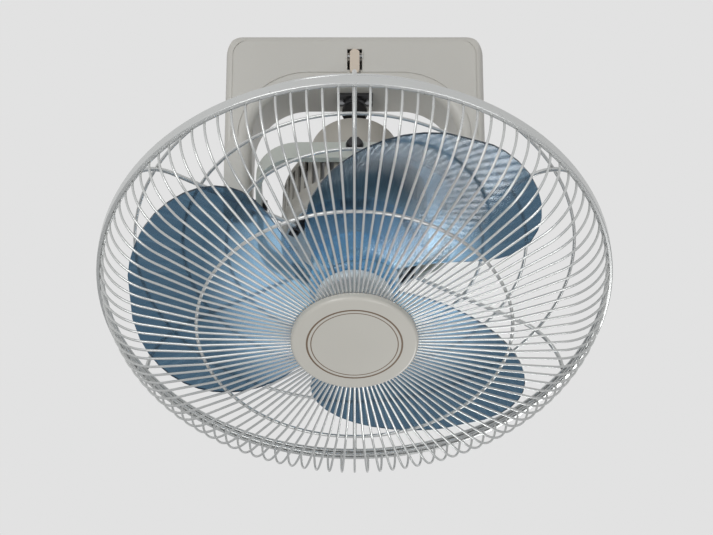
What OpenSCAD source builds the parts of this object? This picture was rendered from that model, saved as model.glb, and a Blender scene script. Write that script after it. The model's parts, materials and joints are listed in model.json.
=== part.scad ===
// Orbital ceiling fan.
// A housing with two legs hangs from the ceiling. A gimbal ring swings between the legs, and the
// motor with its guard and blades swings inside the ring. A crank behind the motor, whose ball
// stays under a fixed seat, leads the tilted head round in a circle.
// Units are millimetres. The origin is on the ceiling, in the middle of the mounting plate,
// +Z is up and the head leans towards -Y.

/* [Fan] */
// Diameter that the blade tips sweep
sweep_d = 400; // [370:1:410]
// Angle between the fan axis and the vertical
tilt = 27; // [24:0.5:28]
// Distance from the ceiling down to the centre of the gimbal
drop = 165; // [162:1:190]
// Distance from the gimbal centre forward to the plane of the guard rim
reach = 104; // [102:1:112]

/* [Blades] */
// Number of blades
blades = 3; // [3:1:5]
// Diameter of the blade hub
hub_d = 80; // [76:1:84]
// Length of the blade hub
hub_l = 45; // [42:1:48]
// Angle from a blade's middle line to its leading edge
blade_lead = 60; // [40:1:62]
// Angle from a blade's middle line to its trailing edge
blade_trail = 43; // [30:1:45]
// Pitch of a blade
blade_pitch = 11; // [8:0.5:12]
// Radius of a blade's hollow side
blade_camber_r = 650; // [550:10:900]
// Thickness of a blade
blade_t = 2.4; // [1.6:0.1:3]

/* [Guard] */
// Outside diameter of the rim
rim_d = 455.4; // [450:0.2:462]
// Number of wires in the front guard
wires = 108; // [72:2:112]
// Diameter of a front guard wire
wire_d = 2.2; // [1.6:0.1:2.4]
// Radius of the bend at the edge of the front guard
corner_r = 49; // [46:1:52]
// Radius of the loose ring in the middle of the front guard
mid_ring_r = 137; // [120:1:145]
// Diameter of the badge in the middle
badge_d = 110; // [106:1:116]
// Number of spokes in the rear guard
spokes = 6; // [6:2:8]
// Diameter of a rear guard spoke
spoke_d = 4; // [3:0.1:5]

/* [Motor] */
// Diameter of the motor casing
motor_d = 134; // [132:0.5:135]
// Diameter of the gear case behind the motor
gear_case_d = 84; // [80:1:86]
// Length of the gear case
gear_case_l = 48; // [47:1:50]
// Diameter of the motor shaft
shaft_d = 10; // [8:0.5:11]

/* [Gimbal] */
// Half width of the ring, towards the legs
ring_x = 90; // [89:0.5:91]
// Half width of the ring, fore and aft
ring_y = 74; // [73.5:0.5:76]
// Height of the ring along the fan axis
ring_h = 22; // [18:1:22]
// Thickness of the ring
ring_t = 5; // [4:0.1:5.5]
// Diameter of the four pivot pins
pin_d = 8; // [7:0.5:9]

/* [Housing] */
// Width of the housing
housing_w = 241; // [238:1:250]
// Depth of the housing, front to back
housing_d = 60; // [56:1:70]
// Half width of the arch between the legs
arch_x = 95; // [94.5:0.5:96]
// Height of the arch above the gimbal centre
arch_z = 111; // [110:0.5:113]
// Radius of the arch's upper corners
arch_r = 52; // [44:1:56]
// Wall thickness of the housing mouldings
wall = 2.5; // [2:0.1:3]
// Height of the slot that the switch lever moves in
slot_h = 21.5; // [20:0.5:23]
// Width of the slot that the switch lever moves in
slot_w = 14; // [12:0.5:15]

/* [Hidden] */

// Smoothness of round parts
round_fn = 96;
wire_fn = 20;
// Running clearance of a pin or shaft in its bore, on the radius
run_fit = 0.05;
// Air gap between pieces that move past each other
air = 0.5;
// Room between the steel frame and the front of a leg
frame_play = 3.5;
// Play of a screw in its hole, on the radius
screw_play = 0.2;
// How far one piece sinks into another when they are one moulding or one weld
sink = 0.5;
// How far welded wires sink into each other
weld = 0.4;
// Where two bends of one wire meet, one is thinner by this much and runs this far into the other
joint_step = 0.06;
joint_l = 0.15;
joint_a = 0.5;
// Between two pieces that touch
touch = 0.03;

// ---- colours, as on the photograph ----
shell_grey = [0.80, 0.79, 0.75];
ring_grey = [0.75, 0.77, 0.73];
motor_grey = [0.66, 0.64, 0.59];
wire_silver = [0.80, 0.80, 0.79];
badge_grey = [0.71, 0.70, 0.65];
blade_blue = [0.34, 0.50, 0.64];
cap_grey = [0.78, 0.79, 0.76];
steel = [0.62, 0.63, 0.64];
black = [0.10, 0.10, 0.11];
copper = [0.72, 0.43, 0.24];
brass = [0.78, 0.66, 0.38];
beige = [0.86, 0.82, 0.76];

// ---- places, along the fan axis from the rim plane: forward is positive ----
tip_r = sweep_d/2;
hub_r = hub_d/2;
hub_back = -27;
hub_front = hub_back + hub_l;
hub_wall = 2.5;
hub_boss_r = shaft_d/2 + 6;
blade_mid = 6;
blade_turn = 5;
cap_r = hub_r - 5.5;
cap_h = 7;

spoke_s = -44;
plate_t = 1.6 - touch;
motor_r = motor_d/2;
motor_wall = 2.5;
motor_front = spoke_s - spoke_d/2 - plate_t - touch;
motor_split = motor_front - 21;
motor_back = -reach - 30;
motor_neck_r = 24;
motor_neck_l = 8;
motor_front_round = 8;
motor_back_round = 20;
cover_screw_r = 1.8;
cover_screw_head_r = 3.2;
vents = 20;
vent_step = 7.6;

bearing_r = shaft_d/2 + 6;
bearing_l = 10;
bearing_boss_r = bearing_r + 5;
shaft_hole_r = shaft_d/2 + 2;

core_l = 25;
core_front = motor_split - 5;
core_back = core_front - core_l;
core_bore_r = 36;
core_slots = 18;
winding_in_r = 40;
winding_out_r = 57;
winding_h = 9;
rotor_r = core_bore_r - air;

case_r = gear_case_d/2;
case_wall = 2.5;
case_back = motor_back - gear_case_l;
case_cover_t = 3;
case_end = case_back - case_cover_t;
case_screw_r = 2;
case_post_r = 4.5;
case_post_at = case_r - case_wall - case_post_r + sink;
orbit_motor_r = 25;
orbit_motor_l = 18;

// ---- the crank, whose ball stays straight above the gimbal centre ----
ball_reach = arch_z - 11;
ball_r = 6;
ball_gap = 0.4;
crank_r = ball_reach*sin(tilt);
crank_s = -reach - ball_reach*cos(tilt);
crank_shaft_r = 4;
arm_t = 4;
arm_w = 14;
arm_front = case_end - 0.8;
arm_hub_r = 9;
arm_end_r = 12;
neck_r = 3;
seat_r = 9;
seat_screw_x = 13;

// ---- guard ----
rim_r = rim_d/2;
rim_h = 11;
rim_web = 1.9;
rim_lip_t = 1.1;
rim_lip_w = 2.9;
edge_wire_r = 1.9;
edge_ring_r = rim_r - rim_web - edge_wire_r;
edge_ring_s = rim_h/2 - rim_lip_t - edge_wire_r;
wire_out_r = edge_ring_r - 0.4;
wire_in_r = 50;
slope_out = 11.8;
slope_in = 4.5;
corner_x = wire_out_r - corner_r;
corner_end_r = corner_x + corner_r*sin(slope_out);
kink_s = edge_ring_s + corner_r*cos(slope_out) + (corner_end_r - mid_ring_r)*tan(slope_out);
wire_in_s = kink_s + (mid_ring_r - wire_in_r)*tan(slope_in);
mid_ring_d = 3;
disc_t = 1.6;
disc_s = wire_in_s - wire_d/2 - disc_t + weld;
disc_r = wire_in_r + 1.5;
rear_inner_ring_r = 116;
rear_mid_ring_r = 155;
rear_ring_d = 3;
rear_bend_ring_r = 198;
ring_behind = (spoke_d + rear_ring_d)/2 + touch;
spoke_bend_r = -edge_ring_s - spoke_s;
spoke_bend_x = rim_r - rim_lip_w - spoke_d/2 - 0.1 - spoke_bend_r;
plate_r = 64;
plate_hole_r = motor_neck_r + screw_play;
clip_at = 57;
clip_l = 26;
clip_w = 8;
clip_t = 1.6;
clip_screw_dx = 8.5;
spoke_in_r = clip_at - clip_w/2 - 2;

badge_r = badge_d/2;
badge_back = wire_in_s + wire_d/2 + 0.1;
badge_t = 7;
badge_face = badge_back + badge_t;
badge_wall = 2;
clamp_r = 44;
clamp_t = 3;

// ---- pivots ----
pin_r = pin_d/2;
bush_r = pin_r + 2;
pin_head_r = 7;
pin_head_t = 3.5;
bush_flange_t = 1;
ring_corner_r = 40;
ring_shift = 6.5;
ring_lug_r = bush_r + 4;
tilt_boss_r = 9;
tilt_boss_gap = air;

// ---- housing, measured up from the gimbal centre ----
ceiling = drop;
housing_top = ceiling - 1;
housing_x = housing_w/2;
housing_y = housing_d/2;
top_corner_r = 22;
top_round_r = 10;
side_round_r = 8;
leg_r = 14;
leg_taper_z = 60;
plate_l = 190;
plate_w = 40;
ceiling_plate_t = 2.5;
frame_t = 3;
frame_w = 2*(leg_r - wall - frame_play);
frame_x = arch_x + 8;
frame_top = ceiling - ceiling_plate_t;
hole_dx = 150;
hole_dy = 24;
screw_hole_r = 2.75;
grommet_r = 8;
panel_inset = 6;
arch_edge_r = 10;
groove_w = 1.2;
groove_t = 0.8;
post_r = 4.5;
post_places = [[-110, 45], [110, 45], [-86, 128], [86, 128]];
lever_w = 9;
lever_h = 25;
lever_t = 4;
lever_z = 121;
slot_z = 126.5;
lever_pin_z = slot_z + slot_h - 6.5;
lever_pin_r = 1.5;
lever_eye_r = 3.6;
lever_y = -housing_y + lever_eye_r - 0.6;

// ---- frames ----
// Origin at the gimbal centre, upright
module at_pivot() translate([0, 0, -drop]) children();
// Origin at the middle of the rim plane, +Z forward along the fan axis, +Y to the rim's high side
module in_fan() at_pivot() rotate([-tilt, 0, 0]) translate([0, 0, -reach])
  rotate([180, 0, 0]) children();
// The same directions with the origin at the gimbal centre
module in_ring() in_fan() translate([0, 0, -reach]) children();
// Clockwise angle a from the high side, seen from the front
module clockwise(a) rotate([0, 0, -a]) children();

// ---- shared shapes ----
// Flat rectangle with round corners, on its middle
module round_rect(x, y, r) {
  square([2*x, 2*(y - r)], center = true);
  square([2*(x - r), 2*y], center = true);
  for (sx = [-1, 1], sy = [-1, 1])
    translate([sx*(x - r), sy*(y - r)]) circle(r, $fn = round_fn);
}

// Half profile of a cup: radius r, height h, open at the bottom, round edge at the top
module cup_profile(r, h, edge) {
  square([r - edge, h]);
  square([r, h - edge]);
  translate([r - edge, h - edge]) circle(edge, $fn = round_fn);
}

// Solid of revolution of the same profile
module cup(r, h, edge) rotate_extrude($fn = round_fn) intersection() {
  cup_profile(r, h, edge);
  square([r, h]);
}

module ring_shape(r_out, r_in, h) difference() {
  cylinder(r = r_out, h = h, $fn = round_fn);
  translate([0, 0, -1]) cylinder(r = r_in, h = h + 2, $fn = round_fn);
}

// Closed round ring of wire
module wire_ring(r, d) rotate_extrude($fn = round_fn)
  translate([r, 0]) circle(d = d, $fn = wire_fn);

// Pan head screw, head up, its seat at z = 0
module pan_screw(r, l, head_r, head_h) {
  translate([0, 0, -l]) cylinder(r = r, h = l + sink, $fn = 32);
  difference() {
    cup(head_r, head_h, head_h*0.45);
    translate([0, 0, head_h]) cube([head_r*1.3, head_r*0.25, head_h], center = true);
    translate([0, 0, head_h]) cube([head_r*0.25, head_r*1.3, head_h], center = true);
  }
}

// ---- ceiling plate and steel frame ----
module ceiling_plate() color(steel) difference() {
  translate([0, 0, -ceiling_plate_t]) linear_extrude(ceiling_plate_t)
    round_rect(plate_l/2, plate_w/2, 6);
  for (sx = [-1, 1], sy = [-1, 1])
    translate([sx*hole_dx/2, sy*hole_dy/2, -ceiling_plate_t - 1])
      cylinder(r = screw_hole_r, h = ceiling_plate_t + 2, $fn = 48);
  translate([0, 0, -ceiling_plate_t - 1])
    cylinder(r = grommet_r, h = ceiling_plate_t + 2, $fn = 48);
}

// Steel strap bent down into both legs, where it holds the pivot pins
module support_frame() color(steel) at_pivot() difference() {
  intersection() {
    translate([-frame_x, -frame_w/2, -frame_w]) cube([2*frame_x, frame_w, frame_top + frame_w]);
    rotate([90, 0, 90]) translate([0, 0, -frame_x]) linear_extrude(2*frame_x) {
      translate([-frame_w/2, 0]) square([frame_w, frame_top]);
      circle(frame_w/2, $fn = round_fn);
    }
  }
  translate([-frame_x + frame_t, -frame_w, -frame_w*2])
    cube([2*(frame_x - frame_t), 2*frame_w, frame_top - frame_t + frame_w*2]);
  rotate([0, 90, 0]) translate([0, 0, -frame_x - 1])
    cylinder(r = pin_r, h = 2*frame_x + 2, $fn = 48);
  for (sx = [-1, 1], sy = [-1, 1])
    translate([sx*hole_dx/2, sy*hole_dy/2, frame_top - frame_t - 1])
      cylinder(r = screw_hole_r + 3, h = frame_t + 2, $fn = 48);
  translate([0, 0, frame_top - frame_t - 1])
    cylinder(r = grommet_r, h = frame_t + 2, $fn = 48);
}

module cable_grommet() color(black) translate([0, 0, -ceiling_plate_t - frame_t]) difference() {
  union() {
    cylinder(r = grommet_r, h = ceiling_plate_t + frame_t, $fn = 48);
    translate([0, 0, -2]) cylinder(r = grommet_r + 2.5, h = 2, $fn = 48);
  }
  translate([0, 0, -3]) cylinder(r = grommet_r - 3, h = ceiling_plate_t + frame_t + 4, $fn = 48);
}

// ---- housing ----
// Front view of the housing, drawn in by i, with the arch grown by arch_i
module housing_front_view(i, arch_i) difference() {
  union() {
    translate([-housing_x + i, -leg_r - 1])
      square([2*(housing_x - i), housing_top + leg_r + 1 - top_corner_r]);
    translate([-housing_x + top_corner_r, 0])
      square([2*(housing_x - top_corner_r), housing_top - i]);
    for (s = [-1, 1]) translate([s*(housing_x - top_corner_r), housing_top - top_corner_r])
      circle(top_corner_r - i, $fn = round_fn);
  }
  arch_view(arch_i);
}

// The arch between the legs, grown by i
module arch_view(i) {
  translate([-arch_x - i, -leg_r - 2]) square([2*(arch_x + i), arch_z - arch_r + leg_r + 2]);
  translate([-arch_x + arch_r, 0]) square([2*(arch_x - arch_r), arch_z + i]);
  for (s = [-1, 1]) translate([s*(arch_x - arch_r), arch_z - arch_r])
    circle(arch_r + i, $fn = round_fn);
}

// Side view of the housing, drawn in by i: tapered legs with round ends
taper_l = sqrt(housing_y*housing_y + leg_taper_z*leg_taper_z);
taper_a = atan2(leg_taper_z, housing_y) - acos(leg_r/taper_l);
taper_face_a = atan2(leg_taper_z - leg_r*sin(taper_a), housing_y - leg_r*cos(taper_a));
module housing_side_view(i) {
  x = housing_y - i;
  r = leg_r - i;
  polygon([
    [-r*cos(taper_a), r*sin(taper_a)], [r*cos(taper_a), r*sin(taper_a)],
    [x, leg_taper_z], [x, housing_top - top_round_r],
    [-x, housing_top - top_round_r], [-x, leg_taper_z]
  ]);
  translate([-housing_y + top_round_r, leg_taper_z])
    square([2*(housing_y - top_round_r), housing_top - i - leg_taper_z]);
  for (s = [-1, 1]) translate([s*(housing_y - top_round_r), housing_top - top_round_r])
    circle(top_round_r - i, $fn = round_fn);
  circle(r, $fn = round_fn);
}

// What the round front edge of the arch takes away, drawn in by i: along the roof, round the
// corners, down the legs, and down the slope of the legs' taper
module arch_edge_profile(r) difference() {
  translate([-1, -1]) square(r + 1);
  translate([r, r]) circle(r + 0.02, $fn = round_fn);
}
module arch_edge(i) {
  r = arch_edge_r - i;
  x = arch_x - arch_r;
  z = arch_z - arch_r;
  translate([-x, i - housing_y, arch_z + i]) rotate([90, 0, 90])
    linear_extrude(2*x) arch_edge_profile(r);
  for (s = [0, 1]) mirror([s, 0, 0]) {
    translate([x, i - housing_y, z]) rotate([90, 0, 0]) mirror([0, 0, 1])
      rotate_extrude(angle = 90, $fn = round_fn*2) translate([arch_r + i, 0]) arch_edge_profile(r);
    translate([arch_x + i, i - housing_y, leg_taper_z - 8])
      linear_extrude(z - leg_taper_z + 8) arch_edge_profile(r);
    translate([arch_x + i, i - housing_y, leg_taper_z]) rotate([90 - taper_face_a, 0, 0])
      translate([0, 0, -2*leg_taper_z]) linear_extrude(2*leg_taper_z + 6) arch_edge_profile(r);
  }
}

// Whole body of the housing, drawn in by i on every side
module housing_body(i) difference() {
  intersection() {
    translate([0, housing_y, 0]) rotate([90, 0, 0])
      linear_extrude(housing_d) housing_front_view(i, i);
    translate([-housing_x, 0, 0]) rotate([90, 0, 90])
      linear_extrude(housing_w) housing_side_view(i);
    translate([0, 0, -leg_r - 2]) linear_extrude(housing_top + leg_r + 4)
      round_rect(housing_x - i, housing_y - i, side_round_r - i);
  }
  arch_edge(i);
}

// Line pressed into the face, which frames its front panel
module panel_groove() translate([0, -housing_y + groove_t, 0]) rotate([90, 0, 0])
  linear_extrude(groove_t + 1) difference() {
    housing_front_view(panel_inset, arch_edge_r + 2);
    housing_front_view(panel_inset + groove_w, arch_edge_r + 2 + groove_w);
  }

// One half of the housing: side is -1 for the front, 1 for the rear
module housing_half(side) difference() {
  union() {
    difference() {
      housing_body(0);
      housing_body(wall);
    }
    for (p = post_places) intersection() {
      translate([p[0], housing_y - 1, p[1]]) rotate([90, 0, 0])
        cylinder(r = post_r, h = housing_d - 2, $fn = 48);
      housing_body(sink);
    }
  }
  // the other half
  translate([-housing_x - 1, side > 0 ? -housing_d : 0, -leg_r - 5])
    cube([housing_w + 2, housing_d, ceiling + leg_r + 10]);
  // window for the ceiling plate and the frame
  translate([-frame_x - 2, -plate_w/2 - 2, housing_top - top_round_r])
    cube([2*(frame_x + 2), plate_w + 4, 2*top_round_r]);
  // the pivot pins pass the inner walls of the legs
  for (s = [-1, 1]) translate([s*(arch_x + wall/2), 0, 0]) rotate([0, 90, 0])
    cylinder(r = pin_r + screw_play, h = wall + 2, center = true, $fn = 48);
  // the screws of the ball's seat pass the roof of the arch
  for (s = [-1, 1]) translate([s*seat_screw_x, 0, arch_z - 1])
    cylinder(r = 2 + screw_play, h = wall + 2, $fn = 32);
}

module housing_front() color(shell_grey) at_pivot() difference() {
  union() {
    housing_half(-1);
    // two lugs beside the slot carry the lever's pin
    for (s = [-1, 1]) translate([s*(lever_w/2 + air + 1.5), lever_y/2 - housing_y/2 + 1.2, lever_pin_z])
      cube([3, housing_y + lever_y + 4, 8], center = true);
  }
  panel_groove();
  // slot of the lever, with a shallow dish below it for the finger
  translate([-slot_w/2, -housing_y - 1, slot_z]) cube([slot_w, wall + 2, slot_h]);
  translate([0, -housing_y - 29, slot_z - 2]) sphere(r = 30.2, $fn = round_fn);
  translate([-lever_w, lever_y, lever_pin_z]) rotate([0, 90, 0])
    cylinder(r = lever_pin_r, h = 2*lever_w, $fn = 32);
  for (p = post_places) translate([p[0], -12, p[1]]) rotate([-90, 0, 0])
    cylinder(r = 2, h = 20, $fn = 32);
}

module housing_rear() color(shell_grey) at_pivot() difference() {
  housing_half(1);
  for (p = post_places) translate([p[0], 0, p[1]]) rotate([-90, 0, 0]) {
    translate([0, 0, -1]) cylinder(r = 2 + screw_play, h = housing_d, $fn = 32);
    translate([0, 0, housing_y - 3.5]) cylinder(r = post_r - 0.7, h = 5, $fn = 32);
  }
  // air slots
  for (i = [-4:4]) translate([i*12, housing_y - wall - 1, arch_z + 18])
    translate([-2, 0, 0]) cube([4, wall + 2, 20]);
}

module housing_screws() color(steel) at_pivot() for (p = post_places)
  translate([p[0], housing_y - 3.5, p[1]]) rotate([-90, 0, 0])
    pan_screw(2, housing_y + 6, 3.4, 2.4);

// ---- pivots of the ring in the legs ----
module pivot_pins() color(black) at_pivot() for (s = [-1, 1]) rotate([0, s*90, 0]) {
  translate([0, 0, ring_x - ring_t - pin_head_t - 0.6])
    cylinder(r = pin_head_r, h = pin_head_t, $fn = 6);
  translate([0, 0, ring_x - ring_t - 2])
    cylinder(r = pin_r, h = frame_x + 7 - ring_x + ring_t + 2, $fn = 48);
}

module pivot_collars() color(black) at_pivot() for (s = [-1, 1]) rotate([0, s*90, 0])
  translate([0, 0, ring_x + bush_flange_t + 0.3])
    ring_shape(bush_r + 1, pin_r, arch_x - ring_x - bush_flange_t - 0.3);

module pivot_nuts() color(steel) at_pivot() for (s = [-1, 1]) rotate([0, s*90, 0])
  translate([0, 0, frame_x]) difference() {
    cylinder(r = pin_r + 3, h = 5.5, $fn = 6);
    translate([0, 0, -1]) cylinder(r = pin_r, h = 8, $fn = 48);
  }

// ---- fixed seat of the crank's ball, hollowed round the gimbal centre ----
module ball_seat() color(black) at_pivot() difference() {
  union() {
    translate([-seat_screw_x - 4, -12, arch_z - 3]) cube([2*(seat_screw_x + 4), 24, 3]);
    translate([0, 0, arch_z - 9]) cylinder(r = seat_r, h = 8, $fn = round_fn);
  }
  sphere(r = ball_reach + ball_r + ball_gap, $fn = round_fn*2);
  for (s = [-1, 1]) translate([s*seat_screw_x, 0, arch_z - 4])
    cylinder(r = 2, h = 6, $fn = 32);
}

module seat_screws() color(steel) at_pivot() for (s = [-1, 1])
  translate([s*seat_screw_x, 0, arch_z - 3]) {
  translate([0, 0, -2]) cylinder(r = 3.6, h = 2, $fn = 6);
  translate([0, 0, -1]) cylinder(r = 2, h = 3 + wall + 3, $fn = 32);
}

// ---- switch gear inside the housing ----
module switch() color(black) at_pivot() {
  translate([-13, -housing_y + wall + 3, arch_z + wall + 2]) cube([26, 14, 14]);
  translate([-2, -housing_y + wall + 8, arch_z + wall + 15]) cube([4, 5, 4]);
}

module terminal_block() color(shell_grey) at_pivot() difference() {
  translate([-66, -8, frame_top - frame_t - 14]) cube([42, 16, 14]);
  for (i = [0:3]) translate([-60.5 + 10*i, -9, frame_top - frame_t - 15]) cube([6, 18, 6]);
}

module capacitor() color(black) at_pivot()
  translate([26, -9, frame_top - frame_t - 22]) cube([40, 18, 22]);

module orbit_lever() color(beige) at_pivot() difference() {
  union() {
    translate([0, -housing_y - 0.4, 0]) rotate([90, 0, 0]) linear_extrude(lever_t) {
      translate([-lever_w/2, lever_z + lever_w/2]) square([lever_w, lever_h - lever_w]);
      for (z = [lever_z + lever_w/2, lever_z + lever_h - lever_w/2])
        translate([0, z]) circle(lever_w/2, $fn = 48);
    }
    translate([-lever_w/2, lever_y, lever_pin_z]) rotate([0, 90, 0])
      cylinder(r = lever_eye_r, h = lever_w, $fn = 48);
    translate([-lever_w/2, -housing_y - 1, lever_pin_z - lever_eye_r])
      cube([lever_w, lever_y + housing_y + 1, 2*lever_eye_r]);
    translate([-1.5, lever_y, lever_pin_z - 1.5]) cube([3, 9, 3]);
  }
  translate([-lever_w, lever_y, lever_pin_z]) rotate([0, 90, 0])
    cylinder(r = lever_pin_r + run_fit, h = 2*lever_w, $fn = 32);
}

module lever_pin() color(steel) at_pivot()
  translate([-lever_w/2 - air - 3, lever_y, lever_pin_z]) rotate([0, 90, 0])
    cylinder(r = lever_pin_r, h = lever_w + 2*air + 6, $fn = 32);

// ---- gimbal ring ----
module ring_band(h) linear_extrude(h, center = true) difference() {
  round_rect(ring_x, ring_y, ring_corner_r);
  round_rect(ring_x - ring_t, ring_y - ring_t, ring_corner_r - ring_t);
}

// The band lies a little forward of its pivots, so round lugs behind it carry the bushes
module gimbal_ring() color(ring_grey) in_ring() difference() {
  union() {
    translate([0, 0, ring_shift]) ring_band(ring_h);
    intersection() {
      ring_band(4*ring_lug_r);
      union() {
        rotate([0, 90, 0]) cylinder(r = ring_lug_r, h = 3*ring_x, center = true, $fn = round_fn);
        rotate([90, 0, 0]) cylinder(r = ring_lug_r, h = 3*ring_y, center = true, $fn = round_fn);
      }
    }
  }
  rotate([0, 90, 0]) cylinder(r = bush_r, h = 3*ring_x, center = true, $fn = 48);
  rotate([90, 0, 0]) cylinder(r = bush_r, h = 3*ring_y, center = true, $fn = 48);
}

// Flanged bush from the inner face of the ring to its outer face at distance x
module bush(x) translate([0, 0, x - ring_t]) difference() {
  union() {
    cylinder(r = bush_r, h = ring_t, $fn = 48);
    translate([0, 0, ring_t]) cylinder(r = bush_r + 2, h = bush_flange_t, $fn = 48);
  }
  translate([0, 0, -1]) cylinder(r = pin_r + run_fit, h = ring_t + 3, $fn = 48);
}

module ring_bushes() color(black) in_ring() for (s = [-1, 1]) rotate([0, s*90, 0]) bush(ring_x);
module tilt_bushes() color(black) in_ring() for (s = [-1, 1]) rotate([s*90, 0, 0]) bush(ring_y);

// ---- motor ----
tilt_face = ring_y - ring_t - tilt_boss_gap;
module tilt_bolts() color(black) in_ring() for (s = [-1, 1]) rotate([s*90, 0, 0]) {
  translate([0, 0, motor_r - 9])
    cylinder(r = pin_r, h = ring_y + bush_flange_t + 0.4 - motor_r + 9, $fn = 48);
  translate([0, 0, ring_y + bush_flange_t + 0.4])
    cylinder(r = pin_head_r, h = pin_head_t, $fn = 6);
}

// Places of the screws that hold the front cover, on its face
module at_cover_screws() for (a = [30:60:330]) clockwise(a)
  translate([0, motor_r - motor_front_round - 3, motor_front]) children();

module motor_front_cover() color(motor_grey) in_fan() difference() {
  union() {
    difference() {
      translate([0, 0, motor_split]) cup(motor_r, motor_front - motor_split, motor_front_round);
      translate([0, 0, motor_split - 1]) cup(motor_r - motor_wall,
        motor_front - motor_split - motor_wall + 1, motor_front_round - motor_wall);
    }
    translate([0, 0, motor_front - bearing_l - 4])
      cylinder(r = bearing_boss_r, h = bearing_l + 4, $fn = round_fn);
    translate([0, 0, motor_front - motor_wall])
      cup(motor_neck_r, motor_neck_l + motor_wall, 3);
  }
  translate([0, 0, motor_front - bearing_l - 5])
    cylinder(r = bearing_r, h = bearing_l + 3, $fn = round_fn);
  translate([0, 0, motor_front - bearing_l - 5])
    cylinder(r = shaft_hole_r, h = bearing_l + motor_neck_l + 10, $fn = round_fn);
  at_cover_screws() translate([0, 0, -motor_wall - 1])
    cylinder(r = cover_screw_r + screw_play, h = motor_wall + 2, $fn = 32);
}

module motor_rear_cover() color(motor_grey) in_fan() difference() {
  union() {
    difference() {
      translate([0, 0, motor_split]) mirror([0, 0, 1])
        cup(motor_r, motor_split - motor_back, motor_back_round);
      translate([0, 0, motor_split + 1]) mirror([0, 0, 1])
        cup(motor_r - motor_wall, motor_split - motor_back - motor_wall + 1,
          motor_back_round - motor_wall);
    }
    translate([0, 0, motor_back])
      cylinder(r = bearing_boss_r, h = bearing_l + 4, $fn = round_fn);
    // bosses that the ring's bolts screw into
    for (s = [-1, 1]) translate([0, 0, -reach]) rotate([s*90, 0, 0]) {
      translate([0, 0, motor_r - 9]) cylinder(r = pin_r + 1, h = 9, $fn = 48);
      translate([0, 0, motor_r - motor_wall])
        cylinder(r = tilt_boss_r, h = tilt_face - motor_r + motor_wall, $fn = 48);
    }
  }
  translate([0, 0, motor_back + motor_wall])
    cylinder(r = bearing_r, h = bearing_l + 3, $fn = round_fn);
  translate([0, 0, motor_back - 1])
    cylinder(r = shaft_hole_r, h = bearing_l + 10, $fn = round_fn);
  translate([0, 0, -reach]) rotate([90, 0, 0])
    cylinder(r = pin_r, h = 3*motor_r, center = true, $fn = 48);
  // cooling slots round the side, clear of the bosses
  for (s = [-1, 1], i = [0:vents - 1]) clockwise(s*(18 + vent_step*i))
    translate([0, motor_r, motor_split - 23]) cube([4.4, 3*motor_wall, 38], center = true);
}

module cover_screws() color(steel) in_fan() at_cover_screws()
  pan_screw(cover_screw_r, motor_wall + 1, cover_screw_head_r, plate_t);

module stator_core() color(steel) in_fan() translate([0, 0, core_back]) difference() {
  ring_shape(motor_r - motor_wall, core_bore_r, core_l);
  for (i = [0:core_slots - 1]) clockwise(360*i/core_slots) {
    translate([-3, winding_in_r, -1]) cube([6, winding_out_r - winding_in_r - 1, core_l + 2]);
    translate([-1, core_bore_r - 1, -1]) cube([2, winding_in_r - core_bore_r + 2, core_l + 2]);
  }
}

module stator_windings() color(copper) in_fan() {
  for (s = [core_back - winding_h, core_front]) translate([0, 0, s])
    rotate_extrude($fn = round_fn) translate([winding_in_r, 0]) {
      w = winding_out_r - winding_in_r;
      translate([2, 0]) square([w - 4, winding_h]);
      translate([0, 2]) square([w, winding_h - 4]);
      for (x = [2, w - 2], y = [2, winding_h - 2]) translate([x, y]) circle(2, $fn = 32);
    }
  for (i = [0:core_slots - 1]) clockwise(360*i/core_slots)
    translate([-2.7, winding_in_r + 0.4, core_back - 1])
      cube([5.4, winding_out_r - winding_in_r - 2, core_l + 2]);
}

module front_bearing() color(brass) in_fan() translate([0, 0, motor_front - bearing_l - 2])
  ring_shape(bearing_r, shaft_d/2 + run_fit, bearing_l);

module rear_bearing() color(brass) in_fan() translate([0, 0, motor_back + motor_wall])
  ring_shape(bearing_r, shaft_d/2 + run_fit, bearing_l);

// ---- gear case behind the motor ----
module case_posts(r, h) for (a = [60, 180, 300]) clockwise(a)
  translate([0, case_post_at, 0]) cylinder(r = r, h = h, $fn = 32);

module gear_case() color(motor_grey) in_fan() translate([0, 0, case_back]) difference() {
  union() {
    ring_shape(case_r, case_r - case_wall, gear_case_l);
    intersection() {
      case_posts(case_post_r, gear_case_l);
      cylinder(r = case_r - 1, h = gear_case_l, $fn = round_fn);
    }
  }
  translate([0, 0, -1]) case_posts(case_screw_r, 16);
}

module gear_case_cover() color(motor_grey) in_fan() difference() {
  translate([0, 0, case_back]) mirror([0, 0, 1]) cup(case_r, case_cover_t, 1.5);
  translate([0, 0, case_end - 1])
    cylinder(r = crank_shaft_r + run_fit, h = case_cover_t + 2, $fn = 48);
  translate([0, 0, case_end - 1]) case_posts(case_screw_r + screw_play, case_cover_t + 2);
  translate([0, 0, case_end - 1]) case_posts(3.6, 2.4);
}

module gear_case_screws() color(steel) in_fan() translate([0, 0, case_end + 1.4]) {
  mirror([0, 0, 1]) case_posts(3.2, 1.4);
  case_posts(case_screw_r, 12);
}

module orbit_motor() color(steel) in_fan() translate([0, 0, case_back]) difference() {
  union() {
    translate([0, 0, 0]) cup(orbit_motor_r, orbit_motor_l, 2);
    translate([-3, orbit_motor_r - 3, 4]) cube([6, 6, 8]);
  }
  translate([0, 0, -1])
    cylinder(r = crank_shaft_r + run_fit, h = orbit_motor_l - 5, $fn = 48);
}

// ---- crank ----
module crank_shaft() color(steel) in_fan() translate([0, 0, arm_front - arm_t - 2])
  cylinder(r = crank_shaft_r, h = case_back + 10 - arm_front + arm_t + 2, $fn = 48);

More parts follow.
